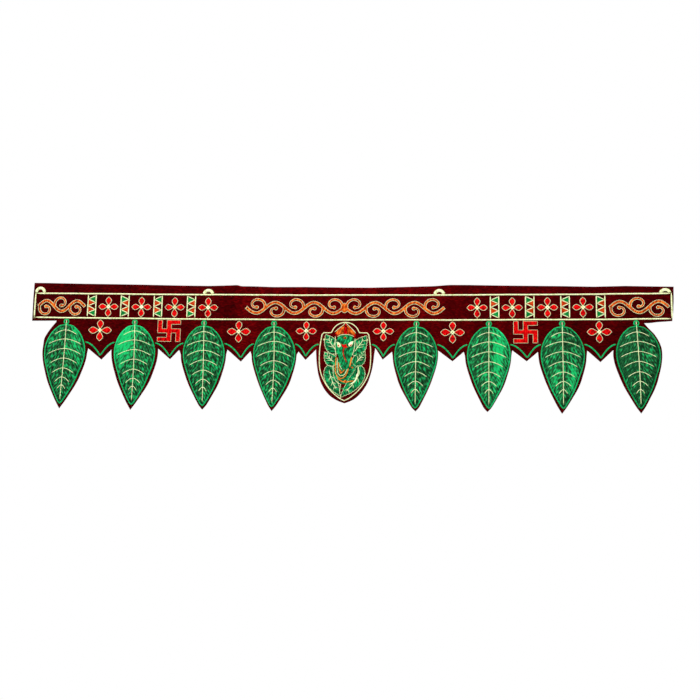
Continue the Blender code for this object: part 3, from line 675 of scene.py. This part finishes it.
UPRIGHT_WIDTH, ZIGZAG_WIDTH, ZIGZAG_UP, ZIGZAG_CORNERS = 1.7, 1.4, 15.6, 7
for number in range(1, 9):
    (x, z), (across, up) = spot(f"divider_{number}")
    side = 1 if number % 2 == 1 else -1
    reach = across - UPRIGHT_WIDTH / 2
    parts = [line(straight((x + way * reach, -up), (x + way * reach, up), 3), "cream", UPRIGHT_WIDTH, 0.85)
             for way in (-1, 1)]
    heights = np.linspace(-ZIGZAG_UP, ZIGZAG_UP, ZIGZAG_CORNERS)
    ways = np.where(np.arange(ZIGZAG_CORNERS) % 2 == 0, side, -side)
    corners = np.stack([x + ways * (reach - 0.4), heights], axis=1)
    parts += [line(straight(start, end, 2.5), "cream", ZIGZAG_WIDTH, 0.8)
              for start, end in zip(corners, corners[1:])]
    for i, colour in ((0, "patch_green"), (1, "patch_orange"), (3, "patch_orange"), (4, "patch_green")):
        triangle = pulled_in([corners[i], corners[i + 1], corners[i + 2]], 0.14)
        parts.append(patch([smooth(triangle, 1.5)], colour, 0.45, edge=0.6, step=1.4, angle=0.0))
    piece(f"divider_{number}_stitched", parts, [f"divider_{number}"])

# %% [markdown]
# ## The flowers
#
# Four pointed petals of red satin stitch, each with its own cream line, meet at a cream heart with a
# small eyelet. One petal is a function of its length, and turns of a quarter give the other three.

# %% Flowers
PETAL_FOOT, FOOT_HALF, PETAL_LINE, HEART_REACH = 2.4, 0.9, 0.75, 3.5


def petal(reach, half, count=11):
    """A teardrop from its narrow foot to its pointed tip: half * sin(pi t^1.25) + 0.9 (1 - t)."""
    share = np.linspace(0, 1, count)
    away = PETAL_FOOT + (reach - PETAL_FOOT) * share
    wide = half * np.sin(math.pi * share ** 1.25).clip(0) + FOOT_HALF * (1 - share)
    return np.concatenate([np.stack([away, -wide], axis=1), np.stack([away, wide], axis=1)[-2::-1]])


eighth = TURN / 8 * np.arange(8)
EYELET = 0.6 * np.stack([np.cos(eighth), np.sin(eighth)], axis=1)
for number in range(1, 15):
    name = f"flower_{number:02d}"
    middle, (across, up) = spot(name)
    parts = []
    for quarter, reach in enumerate((across, up, across, up)):
        c, s = math.cos(math.pi / 2 * quarter), math.sin(math.pi / 2 * quarter)
        loop = petal(reach - 0.5, 0.25 * reach) @ np.array([(c, s), (-s, c)]) + middle
        curve = smooth(loop, 1.3, corner=60)
        parts.append(patch([beside(curve, 0.2)], "red", 0.95, edge=1.4, step=1.4,
                           angle=12.0 if quarter % 2 else 78.0))
        parts.append(line(curve, "cream", PETAL_LINE, 0.9, closed=True, facets=5))
    heart = middle + HEART_REACH * np.array([(1, 0), (0, 1), (-1, 0), (0, -1)])
    parts.append(patch([smooth(heart, 1.2), middle + EYELET], "cream", 0.6, CLOTH + 0.5, edge=1.0,
                       step=1.2, angle=45.0))
    if number <= 8:
        parts.append(line(straight(middle - (0, up - 0.4), middle - (0, up + 1.4), 0.8), "cream", 1.1, 0.8))
    piece(name + "_stitched", parts, [name])

# %% [markdown]
# ## The two auspicious signs
#
# Solid red satin stitch with a thin cream edge. The thread crosses each bar, so it turns by a right
# angle from one bar to the next.

# %% Signs
for name in ("sign_left", "sign_right"):
    (x, z), (across, up) = spot(name)

    def bar_lie(flat, x=x, z=z, across=across, up=up):
        """Upright thread in level bars, and level thread in upright ones."""
        away = np.abs((flat - (x, z)) / (across, up))
        return np.where((away[:, 1] < 0.22) | (away[:, 1] > 0.58), 82.0, 8.0)

    loop = smooth(outlines(name)[0], 2.0)
    parts = [patch([beside(loop, 0.35)], "red", 1.0, edge=1.3, step=1.8, angle=bar_lie),
             line(beside(loop, 0.3), "cream", 0.55, 0.9, closed=True, facets=5)]
    piece(name + "_stitched", parts, [name])

# %% [markdown]
# ## The scrolls
#
# Orange satin stitch in running scrolls, edged in cream. The model gives the outer edge and the small
# hollows between the tendrils, and each gets its own cream line.

# %% Scrolls
for name in ("scroll_left", "scroll_centre", "scroll_right"):
    found = [loop for loop in outlines(name) if abs(area(loop)) > 1.5]
    curves = [smooth(loop, 1.4, corner=48) for loop in found]
    parts = [patch([beside(curve, 0.3) for curve in curves], "orange", 1.1, edge=1.3, step=1.7, angle=64.0)]
    parts += [line(beside(curve, 0.3), "cream", 0.7, 1.0, closed=True, facets=5) for curve in curves]
    piece(name + "_stitched", parts, [name])

# %% [markdown]
# ## The green lines along the points
#
# One row of bright green satin stitch follows each point, from pendant to pendant.

# %% Scallop lines
STEM_WIDTH = 2.1
for number in range(1, 9):
    name = f"scallop_{number}"
    loop = outlines(name)[0]
    loop = np.roll(loop, -np.argmin(loop[:, 0]), axis=0)
    far = np.argmax(loop[:, 0])
    lower, upper = loop[:far + 1], loop[far + 1:][::-1]
    share = np.linspace(0, 1, 17)

    def along(path):
        """Seventeen points spaced evenly along the path."""
        run = np.concatenate([[0], np.cumsum(np.linalg.norm(np.diff(path, axis=0), axis=1))])
        return np.stack([np.interp(share * run[-1], run, path[:, k]) for k in (0, 1)], axis=1)

    middle = (along(lower) + along(upper)) / 2
    curve = smooth(middle, 1.6, closed=False, corner=40)
    piece(name + "_line", [line(curve, "leaf_edge", STEM_WIDTH, 0.9)], [name])

# %% [markdown]
# ## The leaves
#
# Each leaf is filled with green stitches that slope down from the midrib, one way on each half, so one
# half shines where the other is dull. A brighter satin edge runs round it, a small ring joins it to the
# border, and cream veins lie on top. The patches of light differ from leaf to leaf, so a short table
# paints each leaf's highlights into the colour of its green fill and edge.

# %% Leaves
LEAF_PITCH, LEAF_TOP, LEAF_TIP = 104.0, -26.0, -147.4
LEAF_LEAN = {  # shift of the middle, shift of the tip
    1: (0.0, -1.7), 2: (2.0, 1.5), 3: (1.7, 2.5), 4: (1.7, 0.0),
    5: (-0.8, -1.2), 6: (-0.5, -0.7), 7: (0.0, -0.5), 8: (2.0, 2.5)}
VEINS = (  # z at the midrib, half span, drop
    (-37.2, 17.0, 6.8), (-50.8, 25.2, 8.0), (-65.2, 25.4, 8.6), (-79.6, 20.8, 8.0),
    (-94.5, 16.6, 7.6), (-108.0, 11.2, 7.4), (-119.6, 6.0, 6.0))
# Painted highlights on each leaf's thread colour.
SHINE = {  # the leaf's own level, then x from the midrib, z, half width, half height, strength
    1: (0.0, (16, -56, 10, 26, 0.5), (-22, -46, 9, 16, 0.4)),
    2: (0.05, (-14, -44, 13, 22, 1.1), (-20, -70, 10, 18, 0.7), (14, -36, 16, 8, 0.3)),
    3: (0.0, (-10, -60, 16, 26, 0.1)),
    4: (0.0, (8, -52, 16, 24, 0.1)),
    5: (-0.05, (6, -70, 18, 40, 0.05)),
    6: (-0.02, (16, -54, 11, 28, 1.0), (12, -95, 8, 28, 0.6), (-6, -112, 6, 16, 0.35)),
    7: (-0.15, (12, -100, 9, 24, 0.85), (-12, -112, 8, 20, 0.6), (-16, -42, 12, 12, 0.35)),
    8: (-0.4, (14, -72, 12, 20, 0.55), (8, -100, 8, 14, 0.2), (-14, -40, 12, 10, 0.25)),
}


def midrib(number, z):
    """The leaf's middle at height z, as in the model: its place, plus the tip's shift times the share
    of the way down, plus a bow of 4 * share * (1 - share) that gives the middle its own shift."""
    mid, tip = LEAF_LEAN[number]
    place = number - 5 if number < 5 else number - 4
    share = (z - LEAF_TOP) / (LEAF_TIP - LEAF_TOP)
    return place * LEAF_PITCH + tip * share + (mid - tip / 2) * 4 * share * (1 - share)


def leaf_light(number):
    """The function of the flat points that gives a leaf's painted highlights."""
    def light(flat):
        """The leaf's own level, plus for each patch its strength times e to the minus square of the
        distance from the patch's middle, measured in its half widths."""
        level, *patches = SHINE[number]
        found = np.full(len(flat), level)
        for x, z, wide, tall, strength in patches:
            away = ((flat[:, 0] - midrib(number, z) - x) / wide) ** 2 + ((flat[:, 1] - z) / tall) ** 2
            found += strength * np.exp(-away)
        return found
    return light


def leaf_lie(number):
    """The function of the flat points that gives a leaf's thread direction."""
    def lie(flat):
        """Thread slopes down and outwards: 62 degrees on the left half, 118 on the right."""
        return np.where(flat[:, 0] < midrib(number, flat[:, 1]), 62.0, 118.0)
    return lie


STEM_FROM, STEM_TO, SHOULDER, LEAF_FOOT, MIDRIB_FOOT = -21.2, -27.5, -26.5, -146.6, -141.0
RING_MIDDLE, RING_ACROSS, RING_UP = -24.4, 3.3, 3.5
EDGE_WIDTH, STEM_LINE, MIDRIB_WIDTH, VEIN_WIDTH = 2.2, 1.2, 1.0, 0.9
ON_LEAF = CLOTH + 0.85
for number in range(1, 9):
    name = f"leaf_{number}"
    loop = outlines(name)[0]
    body = smooth(loop[loop[:, 1] < SHOULDER], 2.2, corner=40)
    heights = np.linspace(body[:, 1].max() - 0.6, LEAF_FOOT, 30)
    rib = np.stack([midrib(number, heights), heights], axis=1)
    parts = [patch([beside(body, 0.6)], "leaf", 1.1, edge=2.0, step=2.2, seam=rib[1:-1],
                   angle=leaf_lie(number), light=leaf_light(number)),
             line(beside(body, 1.0), "leaf_edge", EDGE_WIDTH, 1.15, closed=True, light=leaf_light(number))]
    turn = np.linspace(0, TURN, 25)[:-1]
    ring = np.stack([midrib(number, -24.7) + RING_ACROSS * np.cos(turn),
                     RING_MIDDLE + RING_UP * np.sin(turn)], axis=1)
    parts.append(line(ring, "leaf_edge", STEM_WIDTH, 1.1, closed=True))
    stem = straight((midrib(number, -22), STEM_FROM), (midrib(number, -27), STEM_TO), 1.5)
    parts.append(line(stem, "cream", STEM_LINE, 0.8))
    down = np.linspace(-27, MIDRIB_FOOT, 40)
    parts.append(line(np.stack([midrib(number, down), down], axis=1), "cream", MIDRIB_WIDTH, 0.6, ON_LEAF))
    for z, span, drop in VEINS:
        share = np.linspace(-1, 1, 21)
        vein = np.stack([midrib(number, z) + span * share, z - drop * np.abs(share) ** 1.8], axis=1)
        parts.append(line(vein, "cream", VEIN_WIDTH, 0.5, ON_LEAF))
    piece(name + "_stitched", parts, [name])
print("eight leaves")

# %% [markdown]
# ## The shield
#
# A cream line round the shield, and inside it an elephant-headed figure made of leaves, a lucky motif
# over doors. It is built from the back to the front, as the embroiderer stitches it: the leaves, the
# head and trunk, the crown, and then the beads, eyes and marks.

# %% Shield line
SHIELD_LINE_WIDTH = 1.5
found = outlines("shield_line")
middle_line = smooth(beside(smooth(found[0], 3.0, corner=30), 0.85), 2.2, corner=30)
piece("shield_cream_line", [line(middle_line, "cream", SHIELD_LINE_WIDTH, 0.95, closed=True)],
      ["shield_line"])

# %% Leaves of the figure
BLADES = (  # spine points, half width to its left and to its right, seen from its foot
    (((-22.0, -85.0), (-20.6, -97.0), (-15.2, -112.0), (-4.6, -130.5)), 8.4, 9.6),
    (((22.5, -85.0), (21.6, -98.5), (13.0, -112.5), (-5.0, -132.5)), 9.8, 9.4),
    (((-11.0, -83.5), (-19.5, -77.0), (-29.0, -66.2)), 9.0, 8.2),
    (((14.0, -84.5), (21.5, -76.5), (29.8, -64.6)), 8.4, 9.0),
    (((-10.0, -67.5), (-18.5, -55.0), (-27.8, -40.0)), 10.6, 9.8),
    (((11.5, -69.5), (21.5, -56.0), (32.2, -41.4)), 10.0, 11.4),
)


def jagged(path, amount=0.35, length=4.4):
    """The path with a sine of that length along it, like the ends of slanting stitches."""
    run = np.concatenate([[0], np.cumsum(np.linalg.norm(np.diff(path, axis=0), axis=1))])
    return beside(path, amount * np.sin(run * 2 * math.pi / length), False)


def blade(spine, left, right):
    """A pointed leaf round a curved spine: the half width times sin(pi t^0.75)^(0.6 + 0.35 t)."""
    spine = smooth(spine, 2.6, closed=False, corner=80)
    share = np.linspace(0, 1, len(spine))
    belly = np.sin(math.pi * share ** 0.75).clip(0) ** (0.6 + 0.35 * share)
    one, other = beside(spine, left * belly, False), beside(spine, -right * belly, False)
    return np.concatenate([other, one[-2:0:-1]]), spine


RIB_FROM, RIB_TO, BARB_SHARES = 0.12, 0.8, (0.34, 0.52, 0.68)
FIGURE_LINE, FIGURE_RIB, FIGURE_BARB = 0.7, 1.0, 0.75
figure = []
for spine, left, right in BLADES:
    loop, rib = blade(spine, left, right)
    foot, tip = rib[0], rib[-1]
    lie = math.degrees(math.atan2(*(tip - foot)[::-1]))
    edge = jagged(smooth(loop, 1.1, corner=50))
    figure.append(patch([beside(edge, 0.3)], "forest", 1.0, edge=1.6, step=1.6, angle=lie + 50))
    figure.append(line(edge, "cream", FIGURE_LINE, 0.95, closed=True, facets=5))
    length = np.linalg.norm(tip - foot)
    share_along = np.linspace(0, 1, len(rib))
    inner = rib[(share_along > RIB_FROM) & (share_along < RIB_TO)]
    figure.append(line(jagged(inner, 0.25, 3.1), "cream", FIGURE_RIB, 0.5, CLOTH + 0.8, facets=5))
    ahead = (tip - foot) / length
    for share in BARB_SHARES:
        start = rib[int(share * len(rib))]
        for way, reach in ((1, left), (-1, right)):
            barb = ahead + way * np.array([-ahead[1], ahead[0]]) * 0.9
            end = start + barb * reach * (0.75 - 0.45 * share)
            figure.append(line(straight(start, end, 1.6), "cream", FIGURE_BARB, 0.45, CLOTH + 0.8, facets=5))
print(len(figure), "parts in the figure's leaves")

# %% Head, crown and marks of the figure
PATCHES = (  # thread, thickness, start above the cloth, thread's lie, outline
    ("forest", 0.9, 0.0, 20, ((-14.6, -78), (-15.4, -94), (-13.2, -104.4), (-9, -110), (-2, -112.6),
        (8, -112.6), (15, -108.6), (19, -101), (19.8, -90), (16.6, -80), (10, -75))),
    ("forest", 1.2, 0.2, 70, ((-8.2, -42.2), (-10.8, -45.4), (-12, -50), (-11.8, -62), (-8.8, -73),
        (-4.2, -82), (0.2, -88), (3.4, -90.8), (6.4, -90.2), (8.8, -82), (11.4, -73), (13.6, -61),
        (13.6, -48), (10, -42.6), (1, -40.2))),
    ("orange", 1.1, 0.3, 50, ((-0.4, -26.4), (-1.8, -39.8), (-5.6, -40.2), (-9.8, -42.6), (-13.4, -37.2),
        (-7.2, -31.2))),
    ("orange", 1.1, 0.3, -50, ((3.2, -26.4), (4.8, -39.8), (8.6, -40.2), (12.8, -42.6), (15.2, -37.6),
        (9.6, -31.4))),
    ("red", 1.2, 0.4, 90, ((0.1, -29.2), (2.6, -29.2), (4.4, -40.4), (-1.4, -40.4))),
    ("red", 1.1, 0.4, 0, ((1.6, -23.6), (3.4, -26), (1.6, -28.2), (-0.2, -26))),
    ("red", 0.9, 0.6, 0, ((-14, -37.6), (-12, -38.4), (-11, -42.6), (-12.6, -43))),
    ("red", 0.9, 0.6, 0, ((16.4, -39.8), (14.6, -40.2), (13.4, -44.6), (15, -45.4))),
    ("orange", 0.5, 1.2, 0, ((-1.6, -45.2), (0.9, -42.6), (3.4, -45.2), (0.9, -47.8))),
    ("velvet", 0.35, 1.6, 0, ((-0.2, -45.2), (0.9, -44.1), (2, -45.2), (0.9, -46.4))),
    ("cream", 0.5, 1.2, 0, ((-11.9, -50.8), (-8.2, -51.8), (-5.2, -55.6), (-5.8, -58.8), (-9, -59.2),
        (-10.8, -55.6))),
    ("cream", 0.5, 1.2, 0, ((13.2, -49.8), (9, -50.9), (5.6, -54.6), (6.4, -57.8), (9.8, -57.8),
        (12, -54.4))),
    ("red", 0.4, 1.6, 0, ((-9.9, -55.4), (-7.6, -55.8), (-7, -58), (-9.2, -57.8))),
    ("red", 0.4, 1.6, 0, ((10.8, -54.4), (8.6, -55.4), (7.8, -57.4), (10, -57))),
    ("red", 0.5, 1.2, 0, ((-4.8, -53.9), (-0.6, -55.2), (3, -54.2), (3.2, -57.2), (6, -58.8),
        (1.6, -60.2), (-3.2, -58.4))),
    ("cream", 1.0, 0.2, 0, ((-31.6, -47.4), (-29.4, -45.4), (-27.8, -47.4), (-29.6, -49.6))),
    ("cream", 1.0, 0.2, 0, ((31.2, -48), (33, -46.2), (34.6, -48.2), (32.8, -50.4))),
    ("orange", 0.6, 1.0, 0, ((10.4, -88.6), (12, -86.8), (13.7, -88.6), (12, -90.4))),
    ("orange", 0.5, 1.1, 45, ((-6.6, -93), (-4.6, -92.2), (-3.2, -95.4), (-4.4, -98.4), (-6.2, -96.6))),
    ("orange", 0.7, 0.9, 45, ((-0.6, -108.8), (2.2, -106.6), (5, -108.8), (2.2, -111.6))),
    ("cream", 0.9, 1.0, 80, ((19.4, -97), (21, -97), (19.6, -104), (16, -110), (9.6, -113.6), (8, -112.8),
        (13, -110), (17, -104.6))),
)
STRANDS = (  # thread, width, height of its foot, points
    ("cream", 0.9, 1.1, ((-14.4, -36.6), (-8, -31), (-2.6, -26.8), (1.5, -22.4), (5.4, -26.8),
        (10.4, -31.6), (16.6, -38.4))),
    ("cream", 0.9, 1.3, ((-10.6, -43.6), (-6, -41.2), (1.2, -40.2), (8.8, -41.2), (13.6, -43.4))),
    ("cream", 1.0, 0.9, ((-13.4, -43), (-13.6, -52), (-13.2, -62), (-11.8, -72))),
    ("cream", 1.0, 0.9, ((15.2, -46), (15.2, -54), (14, -63), (11.4, -71))),
    ("amber", 1.3, 0.9, ((-11.6, -73), (-12.4, -85), (-12, -96), (-8.6, -102.2), (-3.6, -104.6),
        (1.8, -101.4), (5, -95), (6.6, -90))),
    ("amber", 2.1, 0.9, ((10.6, -73), (9.8, -80), (8, -88))),
    ("cream", 1.0, 1.0, ((-10, -77), (-9.8, -88), (-8.6, -97), (-4.6, -101), (0, -99.6), (3.4, -94),
        (5, -91))),
    ("amber", 1.1, 1.1, ((-8, -81), (-7.4, -90), (-4.6, -97.4), (-1, -94.4), (0.8, -91.6))),
    ("cream", 0.9, 1.2, ((-6.6, -83), (-5.4, -88), (-2.6, -91.6))),
    ("amber", 1.4, 0.8, ((-9.4, -104), (-2.4, -109), (3, -110), (10, -108.6), (14.4, -108.2))),
    ("cream", 1.6, 0.8, ((20.4, -87.6), (20.8, -92), (20.4, -98))),
    ("red", 1.5, 1.3, ((0, -59.6), (-1.6, -64.6), (-0.8, -71), (2, -77.4), (3.4, -81))),
    ("leaf_edge", 1.0, 1.1, ((-10.6, -50), (-10.8, -60), (-8.4, -70), (-4.6, -78.6), (1, -86.4))),
    ("leaf_edge", 1.0, 1.1, ((12, -60), (10.4, -70), (7.6, -80), (6, -87.6))),
    ("cream", 0.8, 0.7, ((-15.2, -84), (-15.6, -94.6), (-13.4, -104.6), (-9.4, -110.4), (-4.4, -113),
        (-5, -118.6), (-5.8, -126))),
    ("leaf_edge", 1.2, 0.9, ((-3.2, -120), (6, -116), (14, -111.6))),
)
for colour, thick, stand, lie, corners in PATCHES:
    curve = smooth(corners if area(corners) > 0 else corners[::-1], 1.2, corner=75)
    figure.append(patch([curve], colour, thick, CLOTH + stand - 0.1, edge=min(1.5, 0.5 + thick),
                        step=1.6, angle=lie))
for colour, width, stand, points in STRANDS:
    path = smooth(points, 1.1, closed=False, corner=60)
    figure.append(line(jagged(path, 0.12), colour, width, 0.7, CLOTH + stand, facets=5))
piece("figure_stitched", figure, ["figure_pad"])
print(len(figure), "parts in the whole figure")

# %% [markdown]
# ## The sheet's facts
#
# The cloth is a sheet cut from a strip 940 mm by 190 mm, of which the leaves and points keep about
# three quarters, hung from its top edge.

# %% [markdown]
# ## Light, floor and camera
#
# Soft light from a large panel at the upper left shows the raised stitches, and a second one fills in.
# The camera stands 1.4 m away, a little below and to the side, where the pattern's perspective puts it.

# %% Stage
def panel(name, place, aim, size, watts):
    """A square light panel that faces a point."""
    data = bpy.data.lights.new(name, "AREA")
    data.shape, data.size, data.energy = "SQUARE", size, watts
    made = bpy.data.objects.new(name, data)
    made.location = place
    made.rotation_mode = "QUATERNION"
    made.rotation_quaternion = (Vector(aim) - Vector(place)).to_track_quat("-Z", "Y")
    bpy.context.scene.collection.objects.link(made)


panel("key_panel", (-1.0, -1.5, 1.3), (0, 0, -0.08), 1.0, 62.0)
panel("fill_panel", (1.5, -1.6, 0.5), (0, 0, -0.08), 1.2, 30.0)
panel("back_panel", (0.4, 1.6, 0.8), (0, 0, -0.08), 1.2, 14.0)

world = bpy.data.worlds.new("studio")
bpy.context.scene.world = world
world.use_nodes = True
seen = node(world.node_tree, "ShaderNodeLightPath").outputs["Is Camera Ray"]
strength = node(world.node_tree, "ShaderNodeMapRange", {"Value": seen, "To Min": 0.22, "To Max": 1.0})
world.node_tree.links.new(strength.outputs[0], world.node_tree.nodes["Background"].inputs["Strength"])
world.node_tree.nodes["Background"].inputs["Color"].default_value = (1.0, 1.0, 1.0, 1.0)

floor_mesh = bpy.data.meshes.new("floor")
FLOOR, REACH = -1.9, 2.5  # a door's height below the heading
floor_mesh.from_pydata([(-REACH, -REACH, FLOOR), (REACH, -REACH, FLOOR), (REACH, REACH, FLOOR),
                        (-REACH, REACH, FLOOR)], [], [(0, 1, 2, 3)])
floor = bpy.data.objects.new("floor", floor_mesh)
bpy.context.scene.collection.objects.link(floor)
pale = bpy.data.materials.new("pale_floor_paint")
pale.use_nodes = True
pale.node_tree.nodes["Principled BSDF"].inputs["Base Color"].default_value = linear("#f2f2f0")
pale.node_tree.nodes["Principled BSDF"].inputs["Roughness"].default_value = 0.8
floor_mesh.materials.append(pale)

# %% Camera
CAMERA_TURNS = (-8.544, 4.496, 0.29)  # degrees about the right, down and forward axes, in that order
CAMERA_REACH = (-6.84, -64.55, 1421.8)  # the band's middle as the camera sees it, mm right, down and forward


def looking(turns):
    """The matrix of turns about fixed x, then y, then z."""
    x, y, z = np.radians(turns)
    about_x = np.array([[1, 0, 0], [0, math.cos(x), -math.sin(x)], [0, math.sin(x), math.cos(x)]])
    about_y = np.array([[math.cos(y), 0, math.sin(y)], [0, 1, 0], [-math.sin(y), 0, math.cos(y)]])
    about_z = np.array([[math.cos(z), -math.sin(z), 0], [math.sin(z), math.cos(z), 0], [0, 0, 1]])
    return about_z @ about_y @ about_x


turn = looking(CAMERA_TURNS)
where = -turn.T @ np.array(CAMERA_REACH)
to_world = np.array([[1, 0, 0], [0, 0, 1], [0, -1, 0]])
right, down, ahead = (to_world @ row for row in turn)
drop = TOP_MIDDLE - SAG
place = (to_world @ where) * MM + np.array([0, 0, -drop * MM])
data = bpy.data.cameras.new("camera")
data.lens, data.sensor_width = 50.0, 36.0
camera = bpy.data.objects.new("camera", data)
camera.matrix_world = Matrix(np.column_stack([right, -down, -ahead]).tolist()).to_4x4()
camera.location = place
bpy.context.scene.collection.objects.link(camera)
bpy.context.scene.camera = camera
bpy.context.scene.view_settings.view_transform = "Standard"
print("camera at", [round(v, 3) for v in place])
